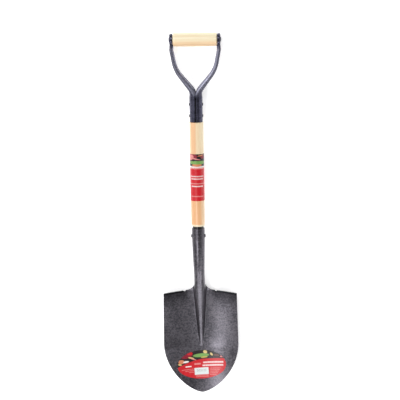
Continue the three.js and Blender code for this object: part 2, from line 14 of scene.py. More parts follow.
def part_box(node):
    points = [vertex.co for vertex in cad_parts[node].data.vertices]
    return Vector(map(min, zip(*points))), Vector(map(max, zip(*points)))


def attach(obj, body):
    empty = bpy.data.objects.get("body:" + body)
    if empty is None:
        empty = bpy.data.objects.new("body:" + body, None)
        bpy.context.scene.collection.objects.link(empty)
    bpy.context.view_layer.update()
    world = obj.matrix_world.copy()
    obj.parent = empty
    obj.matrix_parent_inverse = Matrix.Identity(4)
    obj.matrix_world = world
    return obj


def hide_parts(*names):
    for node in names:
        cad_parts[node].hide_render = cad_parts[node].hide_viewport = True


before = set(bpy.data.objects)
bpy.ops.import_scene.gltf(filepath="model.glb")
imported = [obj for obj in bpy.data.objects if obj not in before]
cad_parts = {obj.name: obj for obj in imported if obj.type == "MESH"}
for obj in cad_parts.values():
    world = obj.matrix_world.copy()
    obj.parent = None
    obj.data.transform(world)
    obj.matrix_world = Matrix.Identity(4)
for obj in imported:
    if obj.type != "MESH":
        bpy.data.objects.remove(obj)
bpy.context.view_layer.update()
MM = 0.001

# ---------------------------------------------------------------- sizes

SHEET = 2 * MM
SHEET_EDGE = 0.5 * MM  # width of the soft edges
SOCKET_MOUTH_R = 15.9 * MM
SOCKET_NECK_R = 12.6 * MM
SOCKET_SEAM = 1.6 * MM
SOCKET_STRAIGHT = 30 * MM
NECK_BEND_LENGTH = 130 * MM
NECK_SLOPE = math.tan(math.radians(20))
RING_OPENS = 84 * MM
STEP_DISTANCE = 183 * MM
NECK_FILLET_R = 26 * MM
RING_OPEN = STEP_DISTANCE - NECK_FILLET_R

BLADE_LENGTH = 296 * MM
SHOULDER_HALF_WIDTH = 98.5 * MM
BLADE_HALF_WIDTH = 101 * MM
WIDEST_DISTANCE = 150 * MM
POINT_FULLNESS = 1.9
POINT_ROUNDNESS = 0.65
TIP_HALF_WIDTH = 1.2 * MM
FROG_LENGTH = 165 * MM
FROG_HEIGHT = 37 * MM
FROG_TIP_R = 3.5 * MM
FROG_FOOT_R = 6.5 * MM
FROG_FOOT_REACH = 48 * MM  # from the crest, along the sheet, at the foot steps
FROG_FLANK_ANGLE = math.radians(83)
FROG_FALL = 1.08  # power of the crest's way down to the blade
DISH_R = 225 * MM
BELLY_DISTANCE = 175 * MM
BELLY_R = 1650 * MM
BLADE_LIFT = math.tan(math.radians(4))
STEP_INNER = 45 * MM
STEP_HEIGHT = 8 * MM
STEP_BEND_R = 2.2 * MM
STEP_CORNER_R = 3.2 * MM
SHOULDER_SLOPE = 0.1
SLOPE_FADES = (6 * MM, 130 * MM)

SHOULDER_GAP = 6.3 * MM
SHAFT_LOW_R = 17.8 * MM
SHAFT_HIGH_R = 18.5 * MM
SPIGOT_R = 14.4 * MM
SPIGOT_TAPER = 0.6 * MM
SPIGOT_LENGTH = 84 * MM
SPIGOT_TIP_R = 8 * MM
TENON_R = 14.3 * MM
TENON_LENGTH = 62 * MM
SHAFT_EDGE_R = 1.5 * MM
TURNED_CENTRE = 0.2 * MM  # radius of the flat middle of a turned end

YOKE_MOUTH_R = 16.9 * MM
YOKE_CROTCH_R = 17.5 * MM
YOKE_WALL = 2 * MM
YOKE_EDGE = 0.45 * MM
YOKE_SEAM = 0.8 * MM
YOKE_GAP = 0.6 * MM  # between the yoke and the shoulders of the wood in it
WELD_REACH = 0.05 * MM
SEAM_DEPTH = 1.5 * MM
SEAM_CURLS = {-1: 3.2 * MM, 1: 1.6 * MM}  # how far each half curls in towards the slit
ARM_BRANCH = 81.4 * MM
ARM_ELBOW = (47.2 * MM, 137.5 * MM)
ARM_TOP_X = 57 * MM
BRANCH_BEND_R = 36 * MM
ELBOW_BEND_R = 80 * MM
EAR_BEND_R = 40 * MM
ARM_FLATTENS = (63 * MM, 173 * MM)
ARM_NARROWING = 0.55
ARM_WIDTH = 10 * MM
ARM_DEPTH = 8.5 * MM
ARM_END_WIDTH = 8.4 * MM
ARM_END_NARROWS = (8 * MM, 30 * MM)  # below the grip's axis
ARM_SQUARENESS = 2.3  # power of the arms' section, where 2 is an ellipse
# width of the painted shade beside the slit
SLIT_SHADE_WIDTH = 1.5 * MM
LIP = 6.5 * MM  # width of the arms' rolled inner edges
LIP_LIMIT = 0.58  # of the arm's width
LIP_GROWS = (56 * MM, 88 * MM)  # above the bottom edge
LIP_DROP = 6 * MM
EAR_LENGTH = 26 * MM
EAR_R = 15.5 * MM
EAR_WIDTH = 8.8 * MM
EAR_EDGE_R = 2.4 * MM
EAR_SEGMENTS = 72

GRIP_R = 18 * MM
GRIP_BELLY = 0.3  # share of the narrowing that is reached halfway out
GRIP_END_R = 17.4 * MM
GRIP_END_LENGTH = 6 * MM
GRIP_END_TAPER = 0.4 * MM
GRIP_SPIGOT_R = 11.5 * MM
GRIP_BORE_R = 3.6 * MM
GRIP_END_GAP = 1.2 * MM
GRIP_EDGE_R = 2.2 * MM

RIVET_R = 2.7 * MM
RIVET_HEAD = (4.6 * MM, 2.6 * MM)  # radius and height
YOKE_RIVET_HEAD = (3.9 * MM, 1.6 * MM)
GRIP_RIVET_R = 3.2 * MM
GRIP_RIVET_HEAD = (6.5 * MM, 2 * MM)
HEAD_GAP = 0.1 * MM
HEAD_RIM = 0.28  # of the head's height
HEAD_CENTRE = 0.1 * MM
HEAD_UNDERSIDE = 0.97  # of the head's radius
SHANK_END = 1 * MM  # straight end of the shank, below the head
SOCKET_RIVET_DISTANCE = 21 * MM
YOKE_RIVET_HEIGHTS = {"upper": 45.5 * MM, "lower": 15.5 * MM}

LABEL_LIFT = 0.45 * MM
LABEL_BACK_LIFT = 0.15 * MM
SHAFT_LABEL_TOP = 83 * MM
SHAFT_LABEL_LENGTH = 124 * MM
SHAFT_LABEL_WRAP = math.radians(352)
BLADE_LABEL_CENTRE = 216 * MM
BLADE_LABEL_HALF = (66.5 * MM, 41 * MM)
BLADE_LABEL_TURN = math.radians(4)

# ---------------------------------------------------------------- the tool's frame


def middle(node):
    low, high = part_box(node)
    return (Vector(low) + Vector(high)) / 2


ACROSS = Vector((1, 0, 0))
ALONG = (middle("grip_rivet") - middle("socket_rivet")).normalized()
OUT_OF_FACE = ACROSS.cross(ALONG)
MOUTH = middle("socket_rivet") + ALONG * SOCKET_RIVET_DISTANCE
GRIP_AXIS = (middle("grip_rivet") - MOUTH).dot(ALONG)
YOKE_BOTTOM = (middle("yoke_rivet_lower") - MOUTH).dot(ALONG) - YOKE_RIVET_HEIGHTS["lower"]
YOKE_LENGTH = GRIP_AXIS - YOKE_BOTTOM
SHAFT_TOP = YOKE_BOTTOM - YOKE_GAP
TOOL = Matrix((ACROSS, ALONG, OUT_OF_FACE)).transposed().to_4x4()
TOOL.translation = MOUTH


def mix(a, b, share):
    return a + (b - a) * share


def smoothstep(value, low, high):
    share = np.clip((value - low) / (high - low), 0, 1)
    return share * share * (3 - 2 * share)


# ---------------------------------------------------------------- making pieces


def piece(name, vertices, faces, material, node, smooth_angle=None, printing=None):
    """A mesh in the tool's frame that stands for a CAD node and rides on the tool."""
    mesh = bpy.data.meshes.new(name)
    mesh.from_pydata([tuple(v) for v in vertices], [], faces)
    mesh.validate()
    if printing is not None:
        layer = mesh.uv_layers.new(name="print")
        for loop in mesh.loops:
            layer.data[loop.index].uv = printing[loop.vertex_index]
    mesh.shade_smooth()
    obj = bpy.data.objects.new(name, mesh)
    bpy.context.scene.collection.objects.link(obj)
    mesh.transform(TOOL)
    mesh.materials.append(material)
    if smooth_angle:
        mesh.set_sharp_from_angle(angle=math.radians(smooth_angle))
    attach(obj, "root")
    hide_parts(node)
    return obj


def grid_faces(rows, columns, keep=None, wrap=False):
    faces = []
    span = columns if wrap else columns - 1
    for row in range(rows - 1):
        for column in range(span):
            if keep is None or keep(row, column):
                right = (column + 1) % columns
                a = row * columns + column
                b = row * columns + right
                faces.append((a, b, b + columns, a + columns))
    return faces


def used_only(points, faces):
    used = sorted({index for face in faces for index in face})
    place = {old: new for new, old in enumerate(used)}
    return points[used], [tuple(place[index] for index in face) for face in faces]


def thicken(obj, thickness, bevel, even=True):
    """Gives a sheet its thickness and soft edges, `even` where it has no tight creases."""
    solid = obj.modifiers.new("thickness", "SOLIDIFY")
    solid.thickness = thickness
    solid.offset = 0
    solid.use_even_offset = even
    edge = obj.modifiers.new("edge", "BEVEL")
    edge.width = bevel
    edge.segments = 3
    edge.limit_method = "ANGLE"
    edge.angle_limit = math.radians(50)
    edge.harden_normals = True


def turned(name, profile, material, node, across=False, at=0.0, segments=96):
    """A solid turned about Y, or about X at the height `at`, from (radius, distance) points."""
    profile = np.array(profile)
    angles = np.arange(segments) * 2 * math.pi / segments
    radius, distance = profile[:, :1], np.repeat(profile[:, 1:], segments, axis=1)
    one, other = radius * np.sin(angles), radius * np.cos(angles)
    layout = (distance, at + one, other) if across else (one, at + distance, other)
    points = np.stack(layout, axis=-1).reshape(-1, 3)
    faces = grid_faces(len(profile), segments, wrap=True)
    last = (len(profile) - 1) * segments
    faces.append(tuple(reversed(range(segments))))
    faces.append(tuple(range(last, last + segments)))
    if across:
        faces = [tuple(reversed(face)) for face in faces]
    piece(name, points, faces, material, node, smooth_angle=38)


def parabola(start, corner, end, steps):
    """Places on the parabola that leaves `start` and arrives at `end` in line with `corner`."""
    t = np.linspace(0, 1, steps)[:, None]
    return list((1 - t) ** 2 * start + 2 * t * (1 - t) * corner + t * t * end)


LEAST_LEG = 2.1  # of a rounding's reach, so that neighbouring roundings stay apart


def rounded(corners, radius, steps=5):
    """The corners of a profile rounded off; the ends stay."""
    corners = [np.array(corner, float) for corner in corners]
    out = [corners[0]]
    for before, corner, after in zip(corners, corners[1:], corners[2:]):
        back, ahead = before - corner, after - corner
        to_back, to_ahead = np.linalg.norm(back), np.linalg.norm(ahead)
        reach = min(radius, to_back / LEAST_LEG, to_ahead / LEAST_LEG)
        start = corner + back / to_back * reach
        end = corner + ahead / to_ahead * reach
        out += parabola(start, corner, end, steps)
    out.append(corners[-1])
    return out


# ---------------------------------------------------------------- material nodes


class Nodes:
    """Short ways to write a material's node tree."""

    def __init__(self, name):
        self.material = bpy.data.materials.new(name)
        self.material.use_nodes = True
        self.tree = self.material.node_tree
        self.shader = self.tree.nodes["Principled BSDF"]
        self.position = self.add("ShaderNodeTexCoord").outputs["Object"]

    def add(self, kind, **settings):
        node = self.tree.nodes.new(kind)
        for key, value in settings.items():
            setattr(node, key, value)
        return node

    def put(self, socket, value):
        if isinstance(value, bpy.types.NodeSocket):
            self.tree.links.new(value, socket)
        else:
            socket.default_value = value

    def split(self, vector):
        node = self.add("ShaderNodeSeparateXYZ")
        self.put(node.inputs[0], vector)
        return node.outputs[0], node.outputs[1], node.outputs[2]

    def up_the_tool(self):
        """Distance along the tool from the socket's mouth."""
        node = self.add("ShaderNodeVectorMath", operation="DOT_PRODUCT")
        self.put(node.inputs[0], self.position)
        node.inputs[1].default_value = ALONG
        return self.math("SUBTRACT", node.outputs["Value"], MOUTH.dot(ALONG))

    def math(self, operation, *values):
        node = self.add("ShaderNodeMath", operation=operation)
        for socket, value in zip(node.inputs, values):
            self.put(socket, value)
        return node.outputs[0]

    def mapped(self, scale):
        node = self.add("ShaderNodeMapping")
        self.put(node.inputs["Vector"], self.position)
        node.inputs["Scale"].default_value = scale
        return node.outputs[0]

    def noise(self, vector, scale, detail=4.0, roughness=0.55, distortion=0.0):
        node = self.add("ShaderNodeTexNoise")
        self.put(node.inputs["Vector"], vector)
        node.inputs["Scale"].default_value = scale
        node.inputs["Detail"].default_value = detail
        node.inputs["Roughness"].default_value = roughness
        node.inputs["Distortion"].default_value = distortion
        return node.outputs["Fac"]

    def spread(self, value, low, high, new_low=0.0, new_high=1.0):
        node = self.add("ShaderNodeMapRange", interpolation_type="SMOOTHSTEP")
        for socket, number in zip(node.inputs, (value, low, high, new_low, new_high)):
            self.put(socket, number)
        return node.outputs[0]

    def blend(self, share, a, b):
        node = self.add("ShaderNodeMix", data_type="RGBA")
        self.put(node.inputs["Factor"], share)
        self.put(node.inputs["A"], a)
        self.put(node.inputs["B"], b)
        return node.outputs["Result"]

    def bump(self, height, strength, distance):
        node = self.add("ShaderNodeBump")
        node.inputs["Strength"].default_value = strength
        node.inputs["Distance"].default_value = distance
        self.put(node.inputs["Height"], height)
        return node.outputs["Normal"]


def rgb(red, green, blue):
    """A colour given as it looks on a screen, 0 to 255, as linear light."""
    def linear(value):
        value /= 255
        return value / 12.92 if value <= 0.04045 else ((value + 0.055) / 1.055) ** 2.4
    return (linear(red), linear(green), linear(blue), 1.0)


END_BLACK = rgb(26, 20, 20)  # black on the wood: painted shade in the yoke's slit, and black below the shaft's shoulder
# painted shade below the blade's foot steps
FOLD_SHADE_BLACK = rgb(22, 22, 26)
# painted shade in the yoke's slit
SLIT_SHADE_BLACK = rgb(14, 14, 18)
# painted highlight on the yoke's rolled edges
EDGE_HIGHLIGHT = rgb(152, 152, 170)
PORE_BROWN = rgb(196, 146, 98)
# painted highlight on the shaft's rounded shoulder
SHOULDER_HIGHLIGHT = rgb(255, 246, 216)


def painted_steel(name, dark, light, roughness, grain, relief, metallic):
    """Stoved paint with an orange-peel skin and soft colour mottles, fine and cloudy."""
    n = Nodes(name)
    mottles = n.noise(n.position, grain, 3, 0.55, 0.3)
    peel = n.noise(n.position, grain * 1.7, 2, 0.45)
    clouds = n.noise(n.position, 16, 4, 0.55)
    tone = n.math("ADD", n.math("MULTIPLY", mottles, 0.65), n.math("MULTIPLY", clouds, 0.35))
    colour = n.blend(n.spread(tone, 0.38, 0.62), dark, light)
    n.put(n.shader.inputs["Base Color"], colour)
    n.put(n.shader.inputs["Roughness"], n.spread(mottles, 0.3, 0.7, roughness - 0.05, roughness + 0.07))
    n.shader.inputs["Metallic"].default_value = metallic
    n.put(n.shader.inputs["Normal"], n.bump(peel, relief, 0.0012))
    return n, colour


def blade_paint():
    """Textured black paint, with painted shade along the foot steps."""
    n, colour = painted_steel(
        "textured_black_paint", dark=rgb(78, 76, 82), light=rgb(112, 109, 116),
        roughness=0.34, grain=230, relief=0.12, metallic=0.92,
    )
    x, _, _ = n.split(n.position)
    from_middle = n.math("ABSOLUTE", x)
    beyond = n.math("MAXIMUM", n.math("SUBTRACT", from_middle, STEP_INNER), 0.0)
    unsloped = n.math("ADD", n.up_the_tool(), n.math("MULTIPLY", beyond, SHOULDER_SLOPE))
    below = n.math("SUBTRACT", -STEP_DISTANCE, unsloped)
    # painted shade: a black band just below each foot step, where the turned lip shades the wing,
    # fading out over the upper wings; none across the neck
    dark = n.math(
        "MAXIMUM",
        n.spread(below, 2 * MM, 60 * MM, 0.72, 0),
        n.spread(below, 5 * MM, 10 * MM, 1, 0),
    )
    dark = n.math("MULTIPLY", dark, n.spread(from_middle, 22 * MM, 46 * MM))
    n.put(n.shader.inputs["Base Color"], n.blend(dark, colour, FOLD_SHADE_BLACK))
    return n.material


def yoke_paint():
    """Semi-gloss paint, with a painted highlight along the arms' rolled edges and black painted shade
    beside the slit.
    """
    n, colour = painted_steel(
        "semi_gloss_black_paint", dark=rgb(66, 66, 82), light=rgb(80, 80, 98),
        roughness=0.26, grain=90, relief=0.01, metallic=0.85,
    )
    tone = n.add("ShaderNodeAttribute", attribute_name="highlight_and_shade").outputs["Fac"]
    # painted highlight: paler paint along the arms' rolled edges, where they catch the light
    colour = n.blend(n.spread(tone, 0, 1), colour, EDGE_HIGHLIGHT)
    # painted shade: black beside the slit, where the groove lies in shade
    colour = n.blend(n.spread(tone, -0.8, -0.2, 1, 0), colour, SLIT_SHADE_BLACK)
    n.put(n.shader.inputs["Base Color"], colour)
    return n.material


def rivet_paint():
    n, _ = painted_steel(
        "painted_rivet", dark=rgb(70, 70, 76), light=rgb(104, 104, 110),
        roughness=0.36, grain=600, relief=0.4, metallic=0.8,
    )
    return n.material


def lacquered_wood(name, along, pale, warm, heartwood_and_shade):
    """Straight-grained ash with a clear coat; `along` is the axis that its grain follows."""
    n = Nodes(name)
    stretch = [75.0, 75.0, 75.0]
    stretch[along] = 1.6
    streaks = n.noise(n.mapped(stretch), 1.0, 5, 0.6, 0.6)
    pores_scale = [560.0, 560.0, 560.0]
    pores_scale[along] = 12.0
    pores = n.noise(n.mapped(pores_scale), 1.0, 2, 0.5)
    colour = n.blend(n.math("MULTIPLY", n.spread(streaks, 0.4, 0.68), 0.4), pale, warm)
    # heartwood tone and painted shade: one side of each turning is painted warmer and darker
    colour = n.blend(n.math("MULTIPLY", heartwood_and_shade(n), 0.75), colour, warm)
    colour = n.blend(n.spread(pores, 0.6, 0.76, 0, 0.3), colour, PORE_BROWN)
    n.put(n.shader.inputs["Base Color"], colour)
    n.put(n.shader.inputs["Roughness"], n.spread(streaks, 0.3, 0.7, 0.3, 0.42))
    n.shader.inputs["Coat Weight"].default_value = 0.3
    n.shader.inputs["Coat Roughness"].default_value = 0.3
    n.put(n.shader.inputs["Normal"], n.bump(pores, 0.15, 0.0003))
    return n, colour


def shaft_wood():
    """The shaft's left front is painted warmer, as heartwood tone and painted shade, and so is its low
    end; the wood is black below the shoulder and inside the yoke.
    """
    def heartwood_and_shade(n):
        x, _, _ = n.split(n.position)
        # the left front is warmer: heartwood tone and painted shade
        left = n.spread(n.math("ABSOLUTE", n.math("ADD", x, 8 * MM)), 4 * MM, 11 * MM, 1, 0)
        # warmer towards the low end
        low = n.spread(n.up_the_tool(), 60 * MM, 250 * MM, 1.2, 0.1)
        low = n.math("MULTIPLY", low, n.spread(x, 5 * MM, 17 * MM, 1, 0.4))
        return n.math("MAXIMUM", left, low)

    n, colour = lacquered_wood(
        "lacquered_ash_shaft", 1, pale=rgb(253, 238, 202), warm=rgb(236, 176, 124), heartwood_and_shade=heartwood_and_shade,
    )
    ragged = n.math("MULTIPLY", n.noise(n.position, 240, 3), 1.4 * MM)
    above_shoulder = n.math("SUBTRACT", n.math("ADD", n.up_the_tool(), ragged), SHOULDER_GAP)
    # painted highlight: a paler ring just above the shoulder, for the light on its rounded edge
    highlight_ring = n.spread(above_shoulder, 3 * MM, 8 * MM, 0.8, 0)
    above_black = n.spread(above_shoulder, 0.2 * MM, 1.6 * MM)
    # painted shade: the tenon is black inside the yoke, where it shows in the slit's shade; below the
    # shoulder the wood is black as well
    outside_yoke = n.spread(n.up_the_tool(), YOKE_BOTTOM, YOKE_BOTTOM + 1 * MM, 1, 0)
    wood_shown = n.math("MULTIPLY", above_black, outside_yoke)
    colour = n.blend(wood_shown, END_BLACK, n.blend(highlight_ring, colour, SHOULDER_HIGHLIGHT))
    n.put(n.shader.inputs["Base Color"], colour)
    return n.material


def grip_wood():
    """The grip's side towards the blade is painted warmer, as heartwood tone and painted shade."""
    def heartwood_and_shade(n):
        return n.spread(n.math("SUBTRACT", n.up_the_tool(), GRIP_AXIS), -9 * MM, 1 * MM, 1, 0)

    n, _ = lacquered_wood(
        "lacquered_ash_grip", 0, pale=rgb(255, 246, 212), warm=rgb(243, 198, 148), heartwood_and_shade=heartwood_and_shade,
    )
    return n.material


# ---------------------------------------------------------------- the blade's sheet


def socket_radius(distance):
    narrowing = np.clip((distance - SOCKET_STRAIGHT) / (RING_OPEN - SOCKET_STRAIGHT), 0, 1)
    return mix(SOCKET_MOUTH_R, SOCKET_NECK_R, narrowing)


def neck_drop(distance):
    bent = max(0.0, distance - SOCKET_STRAIGHT)
    if bent < NECK_BEND_LENGTH:
        return NECK_SLOPE * bent * bent / (2 * NECK_BEND_LENGTH)
    return NECK_SLOPE * (bent - NECK_BEND_LENGTH / 2)


def wing_floor(distance):
    along = distance - STEP_DISTANCE
    at_step = SOCKET_NECK_R - neck_drop(STEP_DISTANCE) - FROG_HEIGHT
    curve = ((along - BELLY_DISTANCE) ** 2 - BELLY_DISTANCE ** 2) / (2 * BELLY_R)
    return at_step - BLADE_LIFT * along + curve


def frog_share(distance):
    return min(1.0, max(0.0, (distance - STEP_DISTANCE) / FROG_LENGTH))


def crest_height(distance):
    along = frog_share(distance)
    if along == 0:
        return socket_radius(distance) - neck_drop(distance)
    return wing_floor(distance) + FROG_HEIGHT * (1 - along) ** FROG_FALL


def open_angles(distance, t):
    """Direction of the open sheet below the X axis at lengths t from the crest."""
    along = frog_share(distance)
    height = FROG_HEIGHT if along == 0 else crest_height(distance) - wing_floor(distance)
    crest_r = mix(SOCKET_NECK_R, FROG_TIP_R, along)
    vanishing = math.acos(max(-1.0, 1 - height / (crest_r + FROG_FOOT_R)))
    flank = min(FROG_FLANK_ANGLE, vanishing)
    bends = (crest_r + FROG_FOOT_R) * (1 - math.cos(flank))
    flank_length = max(0.0, height - bends) / math.sin(flank) if flank > 0.01 else 0.0
    crest_end = crest_r * flank
    flank_end = crest_end + flank_length
    foot_end = flank_end + FROG_FOOT_R * flank
    foot = flank - (t - flank_end) / FROG_FOOT_R
    wing = -(t - FROG_FOOT_REACH * (1 - along)) / DISH_R
    return np.select([t < crest_end, t < flank_end, t < foot_end], [t / crest_r, flank, foot], wing)


TRACE_STEP = 0.25 * MM
TRACE = np.arange(0, 150 * MM, TRACE_STEP)


def section(distance, open_only=False):
    """Places x, z along one half of the sheet's cross-section at the lengths TRACE."""
    middle_lengths = TRACE[:-1] + TRACE_STEP / 2
    angles = open_angles(distance, middle_lengths)
    if not open_only:
        ring = 1 - smoothstep(distance, RING_OPENS, RING_OPEN)
        rolled = np.minimum(middle_lengths / socket_radius(distance), math.pi)
        angles = mix(angles, rolled, ring)
    x = np.concatenate([[0], np.cumsum(np.cos(angles)) * TRACE_STEP])
    z = crest_height(distance) - np.concatenate([[0], np.cumsum(np.sin(angles)) * TRACE_STEP])
    return x, z


def length_to(distance, across):
    x, _ = section(distance, open_only=True)
    return float(np.interp(across, x, TRACE))


def blade_half_width(along):
    if along < WIDEST_DISTANCE:
        return mix(SHOULDER_HALF_WIDTH, BLADE_HALF_WIDTH, along / WIDEST_DISTANCE)
    share = (along - WIDEST_DISTANCE) / (BLADE_LENGTH - WIDEST_DISTANCE)
    return BLADE_HALF_WIDTH * max(0.0, 1 - share ** POINT_FULLNESS) ** POINT_ROUNDNESS


def wing_height(distance, across):
    x, z = section(distance, open_only=True)
    return np.interp(np.abs(across), x, z)


STEP_ROW = STEP_DISTANCE + SHEET / 2 + STEP_BEND_R
NOTCH_X = 40.5 * MM
NECK_COLUMNS = 52
NOTCH_COLUMNS = 58
COLUMNS = 104
FOLD_ROWS = 14
LIP_ROWS = 5  # of the fold's rows, those on its straight lip


def neck_half_length(distance):
    """Half the sheet's width, along the sheet, from the socket's mouth to the foot steps' row."""
    half_width = SOCKET_NECK_R + SHEET / 2
    if distance <= RING_OPEN:
        ring_half = math.pi * socket_radius(distance) - SOCKET_SEAM / 2
        share = smoothstep(distance, RING_OPENS, RING_OPEN)
        return mix(ring_half, length_to(RING_OPEN, half_width), share)
    if distance < STEP_DISTANCE:
        rise = NECK_FILLET_R * math.sqrt(1 - ((distance - RING_OPEN) / NECK_FILLET_R) ** 2)
        return length_to(distance, half_width + NECK_FILLET_R - rise)
    edge = half_width + NECK_FILLET_R
    share = (distance - STEP_DISTANCE) / (STEP_ROW - STEP_DISTANCE)
    return length_to(distance, mix(edge, NOTCH_X, share))


def blade_rows():
    turn = np.linspace(0, math.pi / 2, 26)[1:-1]
    neck = np.concatenate([
        np.linspace(0, RING_OPENS, 26),
        np.linspace(RING_OPENS, RING_OPEN, 44)[1:],
        RING_OPEN + NECK_FILLET_R * np.sin(turn),
        np.linspace(STEP_DISTANCE, STEP_ROW, 4)[:-1],
    ])
    widest = STEP_DISTANCE + WIDEST_DISTANCE
    point = (BLADE_LENGTH - WIDEST_DISTANCE) * np.sin(np.linspace(0, math.pi / 2, 72)[1:])
    blade = np.concatenate([np.linspace(STEP_ROW, widest, 84), widest + point])
    return neck, blade


def half_row(distance, lengths):
    x, z = section(distance)
    across = np.interp(lengths, TRACE, x)
    return np.stack([across, np.full_like(across, -distance), np.interp(lengths, TRACE, z)], axis=-1)


def fold_row(root, row):
    """One row of the turned foot step: a bend off the shoulder's edge, then a straight lip."""
    lip = STEP_HEIGHT + SHEET / 2 - STEP_BEND_R
    from_end = np.minimum(root[:, 0] - root[0, 0], root[-1, 0] - root[:, 0])
    into_corner = np.maximum(0, STEP_CORNER_R - from_end)
    short = STEP_CORNER_R - np.sqrt(np.maximum(0, STEP_CORNER_R ** 2 - into_corner ** 2))
    if row < LIP_ROWS:
        angle, rise = math.pi / 2, (lip - short) * (1 - row / LIP_ROWS)
    else:
        angle, rise = math.pi / 2 * (FOLD_ROWS - row) / (FOLD_ROWS - LIP_ROWS), 0
    points = root.copy()
    points[:, 1] += STEP_BEND_R * math.sin(angle)
    points[:, 2] += STEP_BEND_R * (1 - math.cos(angle)) + rise
    return points


def slope_shoulders(points):
    """Slides every place beyond the inner ends of the foot steps towards the tip."""
    below = -points[..., 1] - STEP_DISTANCE
    beyond = np.maximum(0, np.abs(points[..., 0]) - STEP_INNER)
    points[..., 1] -= SHOULDER_SLOPE * beyond * (1 - smoothstep(below, *SLOPE_FADES))
    return points


def make_blade(material):
    neck, blade = blade_rows()
    root_lengths = np.concatenate([
        np.linspace(0, length_to(STEP_ROW, NOTCH_X), NECK_COLUMNS + 1),
        np.linspace(length_to(STEP_ROW, NOTCH_X), length_to(STEP_ROW, STEP_INNER), 7)[1:],
        np.linspace(length_to(STEP_ROW, STEP_INNER), length_to(STEP_ROW, SHOULDER_HALF_WIDTH), 47)[1:],
    ])
    shares = root_lengths / root_lengths[-1]
    rows = []
    for distance in neck:
        lengths = np.linspace(0, neck_half_length(distance), NECK_COLUMNS + 1)
        rest = np.full(COLUMNS - NECK_COLUMNS, lengths[-1])
        rows.append(half_row(distance, np.concatenate([lengths, rest])))
    for distance in blade:
        half_width = max(TIP_HALF_WIDTH, blade_half_width(distance - STEP_DISTANCE))
        rows.append(half_row(distance, shares * length_to(distance, half_width)))
    step = len(neck)
    root = rows[step][NOTCH_COLUMNS:]
    for row in range(FOLD_ROWS):
        rows[step - FOLD_ROWS + row][NOTCH_COLUMNS:] = fold_row(root, row)
    right = np.array(rows)
    left = right[:, :0:-1] * (-1, 1, 1)
    points = slope_shoulders(np.concatenate([left, right], axis=1))

    def keep(row, column):
        near, far = sorted((abs(column - COLUMNS), abs(column + 1 - COLUMNS)))
        if row >= step or far <= NECK_COLUMNS:
            return True
        return near >= NOTCH_COLUMNS and row >= step - FOLD_ROWS

    faces = grid_faces(len(rows), 2 * COLUMNS + 1, keep)
    vertices, faces = used_only(points.reshape(-1, 3), faces)
    obj = piece("blade_sheet", vertices, faces, material, "blade")
    thicken(obj, SHEET, SHEET_EDGE)


# ---------------------------------------------------------------- yoke

ARM_ROWS = 150
EAR_ROWS = 14
OUTER_TURNS = np.linspace(math.pi / 2, -math.pi / 2, 49)  # round an arm, front to back
RIDGE_TURNS = (1.05, 1.45)  # where the painted highlight of the rolled edge fades in
LIP_TURNS = np.linspace(math.pi / 2, 0.12, 9)[:-1]  # from a lip's free edge to the ridge
LEAST_LIP = 0.05 * MM  # a narrower lip is left out


def arm_path():
    """Line of an arm's open edge in plan, above the yoke's bottom edge."""
    corners = [
        np.array((0.0, 0.0)),
        np.array((0.0, ARM_BRANCH)),
        np.array(ARM_ELBOW),
        np.array((ARM_TOP_X, YOKE_LENGTH - EAR_LENGTH)),
        np.array((ARM_TOP_X, YOKE_LENGTH)),
    ]
    radii = (BRANCH_BEND_R, ELBOW_BEND_R, EAR_BEND_R)
    points = [corners[0]]
    for radius, before, corner, after in zip(radii, corners, corners[1:], corners[2:]):
        back = (before - corner) / np.linalg.norm(before - corner)
        ahead = (after - corner) / np.linalg.norm(after - corner)
        turn = math.pi - math.acos(float(back @ ahead))
        reach = radius * math.tan(turn / 2)
        points += parabola(corner + back * reach, corner, corner + ahead * reach, steps=25)
    points.append(corners[-1])
    points = np.array(points)
    travelled = np.concatenate([[0], np.cumsum(np.linalg.norm(np.diff(points, axis=0), axis=1))])
    even = np.linspace(0, travelled[-1], ARM_ROWS)
    return np.stack([np.interp(even, travelled, points[:, k]) for k in (0, 1)], axis=-1)


